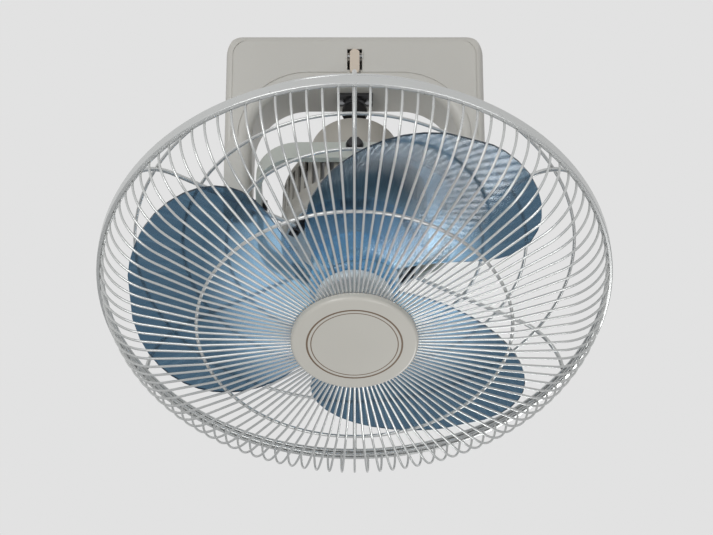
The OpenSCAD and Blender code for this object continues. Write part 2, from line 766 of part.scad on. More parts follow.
module crank_arm() color(black) in_fan() translate([0, 0, arm_front - arm_t]) difference() {
  union() {
    linear_extrude(arm_t) {
      circle(arm_hub_r, $fn = round_fn);
      translate([-arm_w/2, 0]) square([arm_w, crank_r]);
      translate([0, crank_r]) circle(arm_end_r, $fn = round_fn);
    }
    translate([0, 0, -2]) cylinder(r = crank_shaft_r + 2.5, h = 3, $fn = 48);
  }
  translate([0, 0, -3]) cylinder(r = crank_shaft_r, h = arm_t + 4, $fn = 48);
  translate([0, crank_r, -1]) cylinder(r = neck_r, h = arm_t + 2, $fn = 48);
}

// Ball with a flat foot, riveted into the end of the arm
module crank_ball() color(black) in_fan() translate([0, crank_r, 0]) {
  difference() {
    translate([0, 0, crank_s]) sphere(r = ball_r, $fn = round_fn);
    translate([-ball_r, -ball_r, arm_front - arm_t]) cube(2*ball_r);
  }
  translate([0, 0, crank_s]) cylinder(r = neck_r, h = arm_front - crank_s, $fn = 48);
}

// ---- rear guard ----
// A spoke lies on the plate, bends forward at its outer end and stops at the ring in the rim
module spoke() {
  end_a = asin((edge_wire_r + touch)/spoke_bend_r);
  translate([0, spoke_in_r, spoke_s]) rotate([-90, 0, 0])
    cylinder(d = spoke_d, h = spoke_bend_x - spoke_in_r, $fn = wire_fn);
  translate([0, spoke_bend_x, -edge_ring_s]) rotate([0, 90, 0]) rotate([0, 0, -joint_a])
    rotate_extrude(angle = 90 + joint_a - end_a, $fn = round_fn)
      translate([spoke_bend_r, 0]) circle(d = spoke_d - joint_step, $fn = wire_fn);
}

module rear_guard() color(wire_silver) in_fan()
  for (i = [0:spokes - 1]) clockwise(360*i/spokes) spoke();

// Sheet ring on the front of the motor that the spokes are clipped to
module rear_plate() color(wire_silver) in_fan() difference() {
  translate([0, 0, motor_front]) ring_shape(plate_r, plate_hole_r, plate_t);
  at_cover_screws() translate([0, 0, -1])
    cylinder(r = cover_screw_head_r + 2*screw_play, h = plate_t + 2, $fn = 48);
  for (i = [0:spokes - 1], s = [-1, 1]) clockwise(360*i/spokes)
    translate([s*clip_screw_dx, clip_at, motor_front - 1])
      cylinder(r = 1.8, h = plate_t + 2, $fn = 32);
}

// The rings are welded to the backs of the spokes. The smallest passes just outside the legs.
module rear_inner_ring() color(wire_silver) in_fan()
  translate([0, 0, spoke_s - ring_behind]) wire_ring(rear_inner_ring_r, rear_ring_d);

module rear_rings() color(wire_silver) in_fan() {
  translate([0, 0, spoke_s - ring_behind]) wire_ring(rear_mid_ring_r, rear_ring_d);
  bend_a = asin((rear_bend_ring_r - spoke_bend_x)/(spoke_bend_r + ring_behind));
  translate([0, 0, -edge_ring_s - (spoke_bend_r + ring_behind)*cos(bend_a)])
    wire_ring(rear_bend_ring_r, rear_ring_d);
  translate([0, 0, -edge_ring_s]) wire_ring(edge_ring_r, 2*edge_wire_r);
}

// Saddle clips that hold the spokes down on the motor
module guard_clips() color(black) in_fan() for (i = [0:spokes - 1]) clockwise(360*i/spokes)
  difference() {
    union() {
      translate([-clip_l/2, clip_at - clip_w/2, motor_front + plate_t])
        cube([clip_l, clip_w, clip_t]);
      translate([0, clip_at - clip_w/2, spoke_s]) rotate([-90, 0, 0])
        cylinder(r = spoke_d/2 + clip_t, h = clip_w, $fn = 48);
    }
    translate([0, clip_at - clip_w, spoke_s]) rotate([-90, 0, 0])
      cylinder(r = spoke_d/2, h = 2*clip_w, $fn = 48);
    translate([-clip_l, clip_at - clip_w, motor_front + plate_t - 5]) cube([2*clip_l, 2*clip_w, 5]);
    for (s = [-1, 1]) translate([s*clip_screw_dx, clip_at, motor_front])
      cylinder(r = 1.8, h = 10, $fn = 32);
  }

module clip_screws() color(black) in_fan() for (i = [0:spokes - 1], s = [-1, 1])
  clockwise(360*i/spokes) translate([s*clip_screw_dx, clip_at, motor_front + plate_t + clip_t])
    pan_screw(1.8, plate_t + clip_t, 3.2, 2.2);

// ---- rim and front guard ----
module guard_rim() color(wire_silver) in_fan() rotate_extrude($fn = round_fn*2) {
  translate([rim_r - rim_web, -rim_h/2 + 1]) square([rim_web, rim_h - 2]);
  for (s = [-1, 1]) translate([rim_r - rim_lip_w, s*(rim_h - rim_lip_t)/2 - rim_lip_t/2])
    square([rim_lip_w - 1, rim_lip_t]);
  for (s = [-1, 1]) intersection() {
    translate([rim_r - 1, s*(rim_h/2 - 1)]) circle(1, $fn = 32);
    translate([rim_r - 1, -rim_h/2]) square([1, rim_h]);
  }
}

// One wire: from the edge ring round the bend and over the dome to the middle. The bend is a
// little thinner than the dome and runs a little way into it, so that the two join cleanly.
module guard_wire() {
  start_a = asin((edge_wire_r + touch)/corner_r);
  translate([corner_x, 0, edge_ring_s]) rotate([90, 0, 0]) rotate([0, 0, start_a])
    rotate_extrude(angle = 90 - slope_out - start_a + joint_a, $fn = round_fn)
      translate([corner_r, 0]) circle(d = wire_d - joint_step, $fn = wire_fn);
  translate([mid_ring_r, 0, kink_s]) rotate([0, 90 + slope_out, 0])
    cylinder(d = wire_d, h = (corner_end_r - mid_ring_r)/cos(slope_out), $fn = wire_fn);
  translate([mid_ring_r, 0, kink_s]) rotate([0, slope_in - 90, 0]) translate([0, 0, -joint_l])
    cylinder(d = wire_d - joint_step, h = (mid_ring_r - wire_in_r)/cos(slope_in) + joint_l,
      $fn = wire_fn);
}

module front_guard() color(wire_silver) in_fan() {
  for (i = [0:wires - 1]) clockwise(360*i/wires) guard_wire();
  translate([0, 0, disc_s]) ring_shape(disc_r, 2.2, disc_t);
}

// The two rings that the wires are welded to: one under the middle of the wires, one in the rim
module guard_rings() color(wire_silver) in_fan() {
  mid_a = (slope_in + slope_out)/2;
  below = ((wire_d + mid_ring_d)/2 + touch)/cos(mid_a - slope_in);
  translate([0, 0, kink_s - below*cos(mid_a)])
    wire_ring(mid_ring_r - below*sin(mid_a), mid_ring_d);
  translate([0, 0, edge_ring_s]) wire_ring(edge_ring_r, 2*edge_wire_r);
}

// ---- badge, screwed through the middle of the guard ----
module badge() color(badge_grey) in_fan() difference() {
  union() {
    difference() {
      translate([0, 0, badge_back]) cup(badge_r, badge_t, 3);
      translate([0, 0, badge_back - 1]) cup(badge_r - badge_wall, badge_t - badge_wall + 1, 1);
    }
    translate([0, 0, disc_s + disc_t])
      cylinder(r = 6, h = badge_face - disc_s - disc_t - 1, $fn = 48);
  }
  translate([0, 0, disc_s]) cylinder(r = 2, h = badge_face - disc_s - 3, $fn = 32);
}

module badge_clamp() color(black) in_fan() translate([0, 0, disc_s - clamp_t]) difference() {
  cylinder(r = clamp_r, h = clamp_t, $fn = round_fn);
  translate([0, 0, -1]) cylinder(r = 2.2, h = clamp_t + 2, $fn = 32);
  for (a = [0:60:300]) clockwise(a) translate([0, clamp_r*0.6, -1])
    cylinder(r = 8, h = clamp_t + 2, $fn = 48);
}

module badge_screw() color(steel) in_fan() translate([0, 0, disc_s - clamp_t]) mirror([0, 0, 1])
  pan_screw(2, clamp_t + disc_t + 5, 3.8, 2.4);

// ---- blades ----
// A blade's two edges, as angles from its middle line at radius r: each follows a straight trend
// and closes in a round tip
blade_root_r = hub_r - hub_wall - 2;
edge_r = tip_r/2;
function tip_close(r, from, p) = pow(max(0, 1 - pow(max(0, (r - from)/(tip_r - from)), p)), 1/p);
function lead_angle(r) = (blade_lead - 0.195*(r - edge_r))*tip_close(r, 0.2*tip_r, 3.6);
function trail_angle(r) = (blade_trail + 0.318*(r - edge_r))*tip_close(r, 0.34*tip_r, 1.65);

// Flat outline of a blade that points along +X
blade_steps = 18;
module blade_outline() {
  radii = [for (i = [0:blade_steps]) blade_root_r + (tip_r - blade_root_r)*sin(90*i/blade_steps)];
  polygon(concat(
    [for (i = [0:blade_steps]) radii[i]*[cos(trail_angle(radii[i])), -sin(trail_angle(radii[i]))]],
    [for (i = [blade_steps - 1:-1:0]) radii[i]*[cos(lead_angle(radii[i])), sin(lead_angle(radii[i]))]]
  ));
}

// A slice of a large tube, pitched about the blade's own length
module blade() intersection() {
  translate([0, 0, hub_back - 20]) linear_extrude(hub_l + 60) blade_outline();
  rotate([blade_pitch, 0, 0]) translate([0, 0, blade_mid + blade_camber_r + blade_t/2])
    rotate([0, 90, 0]) difference() {
      cylinder(r = blade_camber_r + blade_t, h = tip_r + 10, $fn = round_fn*4);
      translate([0, 0, -1])
        cylinder(r = blade_camber_r, h = tip_r + 12, $fn = round_fn*4);
    }
}

module blade_moulding() color(blade_blue) in_fan() difference() {
  union() {
    difference() {
      union() {
        translate([0, 0, hub_back]) cup(hub_r, hub_l, 6);
        for (i = [0:blades - 1]) rotate([0, 0, 180 - blade_turn - 360*i/blades]) blade();
      }
      translate([0, 0, hub_back - 1]) cup(hub_r - hub_wall, hub_l - hub_wall + 1, 4);
    }
    translate([0, 0, hub_back + 1]) cylinder(r = hub_boss_r, h = hub_l - 3, $fn = round_fn);
    for (a = [0:60:300]) rotate([0, 0, a])
      translate([hub_boss_r - 1, -1, hub_back + 8]) cube([hub_r - hub_boss_r - 1, 2, hub_l - 10]);
  }
  translate([0, 0, hub_back - 1]) cylinder(r = shaft_d/2, h = hub_l + 2, $fn = round_fn);
  translate([-hub_boss_r - 1, -2, hub_back]) cube([2*hub_boss_r + 2, 4, 6]);
}

module motor_shaft() color(steel) in_fan() translate([0, 0, motor_back - 2]) difference() {
  cylinder(r = shaft_d/2, h = hub_front + 4 - motor_back + 2, $fn = round_fn);
  translate([0, 0, hub_back + 4 - motor_back + 2]) rotate([0, 90, 0])
    cylinder(r = 2, h = 2*shaft_d, center = true, $fn = 48);
}

module drive_pin() color(steel) in_fan() translate([0, 0, hub_back + 4]) rotate([0, 90, 0])
  cylinder(r = 2, h = 2*hub_boss_r - 1, center = true, $fn = 48);

module nose_cap() color(cap_grey) in_fan() translate([0, 0, hub_front]) difference() {
  cup(cap_r, cap_h, 4.5);
  translate([0, 0, -1]) cylinder(r = shaft_d/2, h = 5, $fn = round_fn);
  translate([0, 0, -1]) difference() {
    cylinder(r = cap_r - 3, h = cap_h - 1.5, $fn = round_fn);
    translate([0, 0, -1]) cylinder(r = shaft_d/2 + 5, h = cap_h + 2, $fn = round_fn);
  }
}

module rotor_core() color(steel) in_fan() difference() {
  union() {
    translate([0, 0, core_back]) cylinder(r = rotor_r, h = core_l, $fn = round_fn);
    translate([0, 0, core_back - 4]) ring_shape(rotor_r - 1.5, rotor_r - 9, core_l + 8);
  }
  translate([0, 0, core_back - 1]) cylinder(r = shaft_d/2, h = core_l + 2, $fn = round_fn);
}

ceiling_plate();
support_frame();
housing_front();
housing_rear();
housing_screws();
pivot_pins();
pivot_collars();
pivot_nuts();
ball_seat();
seat_screws();
switch();
terminal_block();
capacitor();
cable_grommet();
orbit_lever();
lever_pin();
gimbal_ring();
ring_bushes();
tilt_bushes();
motor_front_cover();
motor_rear_cover();
cover_screws();
tilt_bolts();
stator_core();
stator_windings();
front_bearing();
rear_bearing();
gear_case();
gear_case_cover();
gear_case_screws();
orbit_motor();
rear_guard();
rear_plate();
rear_inner_ring();
rear_rings();
guard_clips();
clip_screws();
guard_rim();
front_guard();
guard_rings();
badge();
badge_clamp();
badge_screw();
rotor_core();
motor_shaft();
drive_pin();
blade_moulding();
nose_cap();
crank_shaft();
crank_arm();
crank_ball();
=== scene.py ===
# %% [markdown]
# # Orbital ceiling fan: looks
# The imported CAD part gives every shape, size and joint. This script dresses it: each CAD node gets
# a smoothly shaded copy with a procedural material, and a camera and a pale studio go round it.
# Nothing is modelled anew here, because the solids already have the real fan's wires, slots,
# bevels and twisted blades. What a solid can't have is its finish, and that is what follows.

import json
import math

import bmesh
import bpy
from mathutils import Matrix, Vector

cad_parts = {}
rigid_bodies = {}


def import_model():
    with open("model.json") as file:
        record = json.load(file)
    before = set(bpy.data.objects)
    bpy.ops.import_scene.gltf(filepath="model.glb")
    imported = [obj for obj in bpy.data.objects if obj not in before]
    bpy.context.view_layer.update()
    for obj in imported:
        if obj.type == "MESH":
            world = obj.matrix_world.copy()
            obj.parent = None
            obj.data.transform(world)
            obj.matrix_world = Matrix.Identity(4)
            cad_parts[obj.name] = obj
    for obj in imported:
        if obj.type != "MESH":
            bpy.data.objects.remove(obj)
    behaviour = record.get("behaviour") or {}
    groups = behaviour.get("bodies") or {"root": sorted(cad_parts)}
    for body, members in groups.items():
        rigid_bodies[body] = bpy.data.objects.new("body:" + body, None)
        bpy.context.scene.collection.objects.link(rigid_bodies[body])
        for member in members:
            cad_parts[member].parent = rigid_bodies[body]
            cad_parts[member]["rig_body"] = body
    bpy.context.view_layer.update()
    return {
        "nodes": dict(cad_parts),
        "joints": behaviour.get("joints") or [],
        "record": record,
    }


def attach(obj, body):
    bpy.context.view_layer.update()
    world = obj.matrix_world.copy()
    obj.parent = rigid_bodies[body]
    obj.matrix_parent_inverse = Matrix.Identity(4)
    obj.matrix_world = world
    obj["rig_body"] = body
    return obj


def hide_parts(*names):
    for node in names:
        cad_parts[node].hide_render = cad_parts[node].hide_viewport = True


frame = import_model()
nodes = frame["nodes"]

# %% [markdown]
# ## Camera
# The picture looks up at the fan from the front. Lens and place could be tried by eye, but a ring
# seen at a slant is an ellipse, and its width, height and place say where the camera stood. So
# the values below were worked out from the guard's rings, and only the view is set here.

# %% Camera
SENSOR_MM = 36.0
LENS_MM = 96.4
CAMERA_AT = (0.0017, -1.6421, -0.8254)
CAMERA_TILT_DEG = 110.1

camera = bpy.data.objects.new("camera", bpy.data.cameras.new("camera"))
camera.data.sensor_width = SENSOR_MM
camera.data.lens = LENS_MM
camera.location = CAMERA_AT
camera.rotation_euler = (math.radians(CAMERA_TILT_DEG), 0, 0)
bpy.context.scene.collection.objects.link(camera)
bpy.context.scene.camera = camera
bpy.context.scene.view_settings.view_transform = "Standard"
print("camera", CAMERA_AT, "lens", LENS_MM, "mm")

# %% [markdown]
# ## Node helpers
# A material is a graph of nodes. Adding a node, setting its sockets and linking it takes three
# lines each time, so small functions do it, and every recipe below stays short enough to read.

# %% Node helpers
def add(tree, kind, **values):
    """Adds a shader node and sets its sockets and properties by name."""
    node = tree.nodes.new(kind)
    for name, value in values.items():
        if name in node.inputs:
            node.inputs[name].default_value = value
        else:
            setattr(node, name, value)
    return node


def link(tree, source, target):
    tree.links.new(source, target)


def math_node(tree, operation, *values):
    """Each value is a socket or a number."""
    node = add(tree, "ShaderNodeMath", operation=operation)
    for socket, value in zip(node.inputs, values):
        if isinstance(value, (int, float)):
            socket.default_value = value
        else:
            link(tree, value, socket)
    return node.outputs[0]


print("helpers:", add.__name__, link.__name__, math_node.__name__)

# %% [markdown]
# ## Shared effects: skin
# No moulded or painted face is perfectly even: its tone drifts over a few centimetres, and a fine
# grain breaks the gloss. An image could hold this, but noise on Object coordinates has no seams
# and works on any shape. All the fan's finishes use it, so it is a node group: nodes packed into
# one, with sockets of their own.

# %% Group helper
def group(name, inputs, outputs):
    """An empty shader group with float, colour and vector sockets."""
    kinds = {"f": "NodeSocketFloat", "c": "NodeSocketColor", "v": "NodeSocketVector"}
    tree = bpy.data.node_groups.new(name, "ShaderNodeTree")
    for socket, kind in inputs.items():
        tree.interface.new_socket(socket, in_out="INPUT", socket_type=kinds[kind])
    for socket, kind in outputs.items():
        tree.interface.new_socket(socket, in_out="OUTPUT", socket_type=kinds[kind])
    return tree, tree.nodes.new("NodeGroupInput"), tree.nodes.new("NodeGroupOutput")


print("group sockets: f number, c colour, v vector")

# %% Skin
PATCH_DETAIL = 3.0
GRAIN_DETAIL = 2.0
NOISE_MIDDLE = 0.5

skin, skin_in, skin_out = group(
    "skin",
    {"Vector": "v", "Color": "c", "Tone": "f", "Patch Scale": "f", "Grain Scale": "f",
     "Shine": "f"},
    {"Color": "c", "Roughness": "f", "Height": "f"},
)
patch = add(skin, "ShaderNodeTexNoise", Detail=PATCH_DETAIL)
grain = add(skin, "ShaderNodeTexNoise", Detail=GRAIN_DETAIL)
for node, scale in ((patch, "Patch Scale"), (grain, "Grain Scale")):
    link(skin, skin_in.outputs["Vector"], node.inputs["Vector"])
    link(skin, skin_in.outputs[scale], node.inputs["Scale"])
off_middle = math_node(skin, "SUBTRACT", patch.outputs[0], NOISE_MIDDLE)
shade = math_node(skin, "MULTIPLY", off_middle, skin_in.outputs["Tone"])
bright = add(skin, "ShaderNodeHueSaturation")
link(skin, skin_in.outputs["Color"], bright.inputs["Color"])
link(skin, math_node(skin, "ADD", shade, 1.0), bright.inputs["Value"])
link(skin, bright.outputs[0], skin_out.inputs["Color"])
link(skin, math_node(skin, "ADD", skin_in.outputs["Shine"], shade), skin_out.inputs["Roughness"])
link(skin, grain.outputs[0], skin_out.inputs["Height"])
print("group skin:", len(skin.nodes), "nodes")

# %% [markdown]
# ## Shared effects: dust
# Under a ceiling, dust settles on what faces up, such as the back of the motor and of the guard.
# The upward part of the normal says where, and noise makes the film patchy. It is a group of its
# own, so that a finish that is wiped clean can leave it at nothing.

# %% Noise and tint helpers
# sockets of the Mix node in its colour mode
MIX_FACTOR, MIX_FROM, MIX_TO, MIX_RESULT = 0, 6, 7, 2


def noise(tree, vector, scale, detail, roughness=0.5):
    node = add(tree, "ShaderNodeTexNoise", Scale=scale, Detail=detail, Roughness=roughness)
    link(tree, vector, node.inputs["Vector"])
    return node.outputs[0]


def tinted(tree, colour, factor, tint):
    """colour mixed towards tint by the socket factor. Both colours may be sockets or values."""
    node = add(tree, "ShaderNodeMix", data_type="RGBA")
    link(tree, factor, node.inputs[MIX_FACTOR])
    for index, value in ((MIX_FROM, colour), (MIX_TO, tint)):
        if isinstance(value, bpy.types.NodeSocket):
            link(tree, value, node.inputs[index])
        else:
            node.inputs[index].default_value = (*value, 1)
    return node.outputs[MIX_RESULT]


print("Mix node sockets:", MIX_FACTOR, MIX_FROM, MIX_TO, MIX_RESULT)

# %% Dust
DUST_COLOUR = (0.52, 0.49, 0.43)
DUST_SLOPE = {"From Min": 0.2, "From Max": 1.0}
DUST_PATCHES = 60.0
DUST_DETAIL = 4.0

dust, dust_in, dust_out = group(
    "dust", {"Vector": "v", "Normal": "v", "Color": "c", "Amount": "f"}, {"Color": "c", "Mask": "f"}
)
up = add(dust, "ShaderNodeSeparateXYZ")
link(dust, dust_in.outputs["Normal"], up.inputs[0])
facing_up = add(dust, "ShaderNodeMapRange", **DUST_SLOPE)
link(dust, up.outputs["Z"], facing_up.inputs["Value"])
uneven = noise(dust, dust_in.outputs["Vector"], DUST_PATCHES, DUST_DETAIL)
mask = math_node(dust, "MULTIPLY", facing_up.outputs[0], uneven)
mask = math_node(dust, "MULTIPLY", mask, dust_in.outputs["Amount"])
dusty = tinted(dust, dust_in.outputs["Color"], mask, DUST_COLOUR)
link(dust, dusty, dust_out.inputs["Color"])
link(dust, mask, dust_out.inputs["Mask"])
print("group dust:", len(dust.nodes), "nodes")

# %% [markdown]
# ## Material maker
# The fan's finishes differ in colour, gloss and grain, but not in how they are built. One function
# therefore makes them all, from the skin and the dust above. Colours are linear, the patches and
# the grain are counted per metre, and dirt is how much of the dust there is.

# %% Material maker
GRAIN_DEPTH_M = 0.0005


def finish(name, colour, shine, tone=0.08, patches=9.0, grain_scale=1800.0, relief=0.02,
           dirt=0.0, **shader):
    """A grained, slightly uneven, slightly dusty surface. shader holds plain Principled values."""
    material = bpy.data.materials.new(name)
    material.use_nodes = True
    tree = material.node_tree
    principled = tree.nodes["Principled BSDF"]
    for socket, value in shader.items():
        principled.inputs[socket.replace("_", " ")].default_value = value
    place = add(tree, "ShaderNodeTexCoord")
    surface = add(tree, "ShaderNodeGroup", node_tree=skin)
    surface.inputs["Color"].default_value = (*colour, 1)
    for socket, value in (("Tone", tone), ("Patch Scale", patches), ("Grain Scale", grain_scale),
                          ("Shine", shine)):
        surface.inputs[socket].default_value = value
    link(tree, place.outputs["Object"], surface.inputs["Vector"])
    film = add(tree, "ShaderNodeGroup", node_tree=dust)
    film.inputs["Amount"].default_value = dirt
    link(tree, place.outputs["Object"], film.inputs["Vector"])
    link(tree, place.outputs["Normal"], film.inputs["Normal"])
    link(tree, surface.outputs["Color"], film.inputs["Color"])
    link(tree, film.outputs["Color"], principled.inputs["Base Color"])
    rough = math_node(tree, "ADD", surface.outputs["Roughness"], film.outputs["Mask"])
    link(tree, rough, principled.inputs["Roughness"])
    bump = add(tree, "ShaderNodeBump", Strength=relief, Distance=GRAIN_DEPTH_M)
    link(tree, surface.outputs["Height"], bump.inputs["Height"])
    link(tree, bump.outputs[0], principled.inputs["Normal"])
    return material


print("grain", GRAIN_DEPTH_M*1000, "mm deep")

# %% [markdown]
# ## Fan's axis
# Motor, blades, guard and badge share one axis, which leans forward at rest. Windings, steel
# sheets, badge lines and the blades' colours all follow it. It could be typed in, but the blades'
# joint already holds it, so it is read from the frame.

# %% Fan's axis
blade_joint = next(j for j in frame["joints"] if j["name"] == "blade_spin")
FAN_AXIS = blade_joint["axis"]
AXIS_AT = blade_joint["pos_m"]
print("axis", FAN_AXIS, "through", AXIS_AT)

# %% [markdown]
# ## Stripes
# Wound wire and stacked sheets show as fine parallel lines, far too many to model. A sine of the
# distance along the axis raises them in the bump, and on copper it also paints shade, a darker
# copper, into the grooves.

# %% Place and colour helpers
def object_place(tree):
    """The point on the surface, in the object's own coordinates."""
    coordinates = next(n for n in tree.nodes if n.bl_idname == "ShaderNodeTexCoord")
    return coordinates.outputs["Object"]


def recolour(material, factor, tint):
    """Mixes a material's colour towards tint where factor is 1."""
    tree = material.node_tree
    target = tree.nodes["Principled BSDF"].inputs["Base Color"]
    link(tree, tinted(tree, target.links[0].from_socket, factor, tint), target)


print("helpers:", object_place.__name__, recolour.__name__)

# %% Stripes
def stripes(material, lines, depth, groove=None):
    """Lines across the fan's axis: the sine of lines times the metres along the axis."""
    tree = material.node_tree
    bump = tree.nodes["Principled BSDF"].inputs["Normal"].links[0].from_node
    along = add(tree, "ShaderNodeVectorMath", operation="DOT_PRODUCT")
    along.inputs[1].default_value = FAN_AXIS
    link(tree, object_place(tree), along.inputs[0])
    wave = math_node(tree, "SINE", math_node(tree, "MULTIPLY", along.outputs["Value"], lines))
    raised = math_node(tree, "MULTIPLY", wave, depth)
    height = math_node(tree, "ADD", raised, bump.inputs["Height"].links[0].from_socket)
    link(tree, height, bump.inputs["Height"])
    # painted shade: a darker copper in stripes along the grooves
    if groove:
        recolour(material, math_node(tree, "MULTIPLY_ADD", wave, 0.5, 0.5), groove)
    return material


print("stripes run across", FAN_AXIS)

# %% [markdown]
# ## Plastics, paint and metals
# The housing is satin plastic in a warm grey. The gimbal ring is painted steel and a little
# greener, and the motor's paint is darker and dustier. The guard is plated wire: only half
# metallic, because full metal would mirror the room and lose the wire's pale grey. Pins, bushes
# and windings show through slots and from behind, so they get their own metals.

# %% Plastics, paint and metals
WIRE_LINES = 7000.0
SHEET_LINES = 9000.0
# painted shade: the darker copper that the windings' grooves are painted with
PAINTED_GROOVE_SHADE_COPPER = (0.20, 0.06, 0.02)

looks = {
    "shell": finish("shell_plastic", (0.545, 0.53, 0.485), 0.42, relief=0.05, dirt=0.25),
    "ring": finish("ring_paint", (0.46, 0.485, 0.44), 0.38, relief=0.05, dirt=0.25),
    "motor": finish("motor_paint", (0.43, 0.41, 0.365), 0.40, tone=0.16, relief=0.10, dirt=0.35),
    "guard": finish("guard_wire", (0.60, 0.61, 0.60), 0.26, relief=0.02, dirt=0.15, Metallic=0.55),
    "cap": finish("cap_plastic", (0.84, 0.88, 0.88), 0.22, relief=0.02, Coat_Weight=0.4),
    "lever": finish("lever_plastic", (0.62, 0.53, 0.43), 0.28, relief=0.02, Coat_Weight=0.3),
    "black": finish("black_plastic", (0.018, 0.018, 0.020), 0.42, relief=0.06),
    "rubber": finish("rubber", (0.014, 0.014, 0.015), 0.75, relief=0.15, grain_scale=900.0),
    "steel": finish("zinc_steel", (0.52, 0.53, 0.54), 0.30, tone=0.12, Metallic=1.0),
    "black_steel": finish("blackened_steel", (0.022, 0.022, 0.024), 0.35, tone=0.1, Metallic=0.4),
    "bronze": finish("sintered_bronze", (0.55, 0.38, 0.13), 0.42, relief=0.2, grain_scale=3000.0,
                     Metallic=1.0),
    "copper": stripes(finish("copper_winding", (0.48, 0.16, 0.055), 0.30, Metallic=0.9),
                      WIRE_LINES, 0.6, PAINTED_GROOVE_SHADE_COPPER),
    "lamination": stripes(finish("steel_sheets", (0.33, 0.33, 0.34), 0.45, Metallic=0.9),
                          SHEET_LINES, 0.4),
}
print(len(looks), "finishes")

# %% [markdown]
# ## Distance from the fan's axis
# Badge and blades have marks that go round the axis. The cross product of a point's place with a
# unit vector along the axis is as long as the point is far from the axis, so it gives the radius.
# It needs no map of the surface, and it holds on the badge and on all three blades alike.

# %% Distance from the fan's axis
def radius_from_axis(tree):
    """Distance in metres from the fan's axis, and the vector whose length it is."""
    offset = add(tree, "ShaderNodeVectorMath", operation="SUBTRACT")
    offset.inputs[1].default_value = AXIS_AT
    link(tree, object_place(tree), offset.inputs[0])
    across = add(tree, "ShaderNodeVectorMath", operation="CROSS_PRODUCT")
    across.inputs[1].default_value = FAN_AXIS
    link(tree, offset.outputs[0], across.inputs[0])
    length = add(tree, "ShaderNodeVectorMath", operation="LENGTH")
    link(tree, across.outputs[0], length.inputs[0])
    return length.outputs["Value"], across.outputs[0]


print("radius is measured from", AXIS_AT)

# %% [markdown]
# ## Badge
# The badge is a bevelled disc of grey plastic under a thin clear coat. Two fine bronze lines run
# round it as plain decoration. Such lines are printed, so they are colour and no relief: a line
# is where the radius is within half the line's width of the line's middle.

# %% Soft edge helper
def ramp(tree, value, low, high):
    """0 below low, 1 above high, smooth between."""
    node = add(tree, "ShaderNodeMapRange", interpolation_type="SMOOTHSTEP",
               **{"From Min": low, "From Max": high})
    link(tree, value, node.inputs["Value"])
    return node.outputs[0]


print("helper:", ramp.__name__)

# %% Badge
BRONZE_LINE = (0.155, 0.105, 0.065)
LINES_MM = ((41.0, 0.7), (37.5, 0.35))  # middle radius, half width
LINE_BLUR_M = 0.0002
MM_PER_M = 1000

badge = looks["badge"] = finish("badge_plastic", (0.52, 0.505, 0.455), 0.34, relief=0.04,
                                Coat_Weight=0.25, Coat_Roughness=0.2)
tree = badge.node_tree
radius, _ = radius_from_axis(tree)
for middle, half_width in LINES_MM:
    off = math_node(tree, "ABSOLUTE", math_node(tree, "SUBTRACT", radius, middle/MM_PER_M))
    edge_m = half_width/MM_PER_M
    outside = ramp(tree, off, edge_m, edge_m + LINE_BLUR_M)
    recolour(badge, math_node(tree, "SUBTRACT", 1.0, outside), BRONZE_LINE)
print("badge lines at", [line[0] for line in LINES_MM], "mm")

# %% [markdown]
# ## Blades
# The blades are clear blue plastic: the motor and the ring show through them. Their own colour is a
# smoky slate, and towards the hub a paler blue is painted on: painted light, for the light that the
# housing and motor behind send through them. Alpha could make them see-through, but it doesn't tint
# what is behind. Transmission does, so Alpha only thins the blades' shadows, and the lamps reach the
# motor. Fine flow marks, left by the moulding, run out from the hub.

# %% Blades
# The slate is the blades' own colour; the two paler blues are painted light towards the hub, and the
# palest also tints the flow marks.
SLATE_BLUE = (0.070, 0.145, 0.220)
PAINTED_LIGHT_MID_BLUE = (0.43, 0.69, 0.93)
PAINTED_HUB_LIGHT_AND_FLOW_BLUE = (0.48, 0.79, 1.0)
PAINTED_LIGHT_TINTS_M = ((0.075, 0.140, PAINTED_LIGHT_MID_BLUE), (0.036, 0.075, PAINTED_HUB_LIGHT_AND_FLOW_BLUE))  # full within, gone beyond
FLOW_MARKS = 90.0
FLOW_DETAIL = 2.0
FLOW_ROUGHNESS = 0.6
FLOW_RANGE = (0.50, 0.75)
FLOW_STRENGTH = 0.15
SHADOW_CLEARNESS = 0.75

blade = looks["blade"] = finish("blade_plastic", SLATE_BLUE, 0.08, tone=0.03, patches=5.0,
                                relief=0.0, Transmission_Weight=0.85, IOR=1.45,
                                Specular_IOR_Level=0.3)
tree = blade.node_tree
path = add(tree, "ShaderNodeLightPath")
thinned = math_node(tree, "MULTIPLY", path.outputs["Is Shadow Ray"], SHADOW_CLEARNESS)
solid = math_node(tree, "SUBTRACT", 1.0, thinned)
link(tree, solid, tree.nodes["Principled BSDF"].inputs["Alpha"])
radius, across = radius_from_axis(tree)
# painted light: paler blue towards the hub
for inner, outer, tint in PAINTED_LIGHT_TINTS_M:
    recolour(blade, math_node(tree, "SUBTRACT", 1.0, ramp(tree, radius, inner, outer)), tint)

outward = add(tree, "ShaderNodeVectorMath", operation="NORMALIZE")
link(tree, across, outward.inputs[0])
flow = noise(tree, outward.outputs[0], FLOW_MARKS, FLOW_DETAIL, FLOW_ROUGHNESS)
marks = math_node(tree, "MULTIPLY", ramp(tree, flow, *FLOW_RANGE), FLOW_STRENGTH)
recolour(blade, marks, PAINTED_HUB_LIGHT_AND_FLOW_BLUE)
print("blade colour runs from", PAINTED_HUB_LIGHT_AND_FLOW_BLUE, "to", SLATE_BLUE)

# %% [markdown]
# ## Dress the nodes
# A CAD node is loose triangles, so a round wire shows its facets. Its mesh must stay as it is, but
# a copy may stand in its place: with its corners merged, faces that meet at less than a small
# angle shade as one round surface, and real edges stay crisp. Each copy rides on its node's body.

# %% Dress the nodes
ROUND_BELOW_DEG = 32.0
MERGE_M = 1e-6
FINISH_OF_NODE = {"stator_core": "lamination", "rotor_core": "lamination"}
slot_of = {s["node"]: s["material_slot"] for s in frame["record"]["subparts"]}


